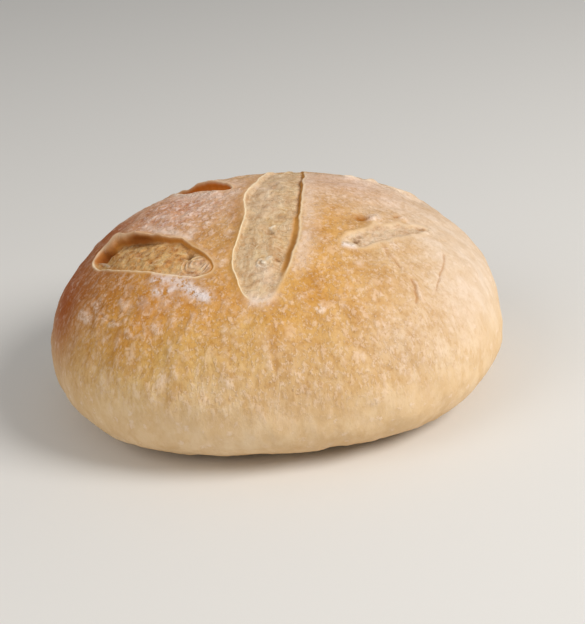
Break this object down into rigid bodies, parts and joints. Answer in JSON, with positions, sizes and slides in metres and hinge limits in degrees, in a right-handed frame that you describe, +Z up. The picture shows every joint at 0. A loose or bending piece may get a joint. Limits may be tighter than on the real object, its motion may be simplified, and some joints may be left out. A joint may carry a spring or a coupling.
{
  "type": "sourdough loaf",
  "caption": "Round sourdough loaf with a cut over the crown and slanting side cuts.",
  "frame": {"origin": "middle of the loaf's plan outline, on the surface that its flat foot rests on", "axes": "+Z up, +X to the right and +Y to the back for someone facing the side where the crown cut starts"},
  "size_m": [0.2246, 0.2184, 0.1051],
  "materials": {
    "crust": "matt baked crust, floury in places"
  },
  "bodies": {
    "root": {"loaf": "crust"}
  },
  "joints": []
}
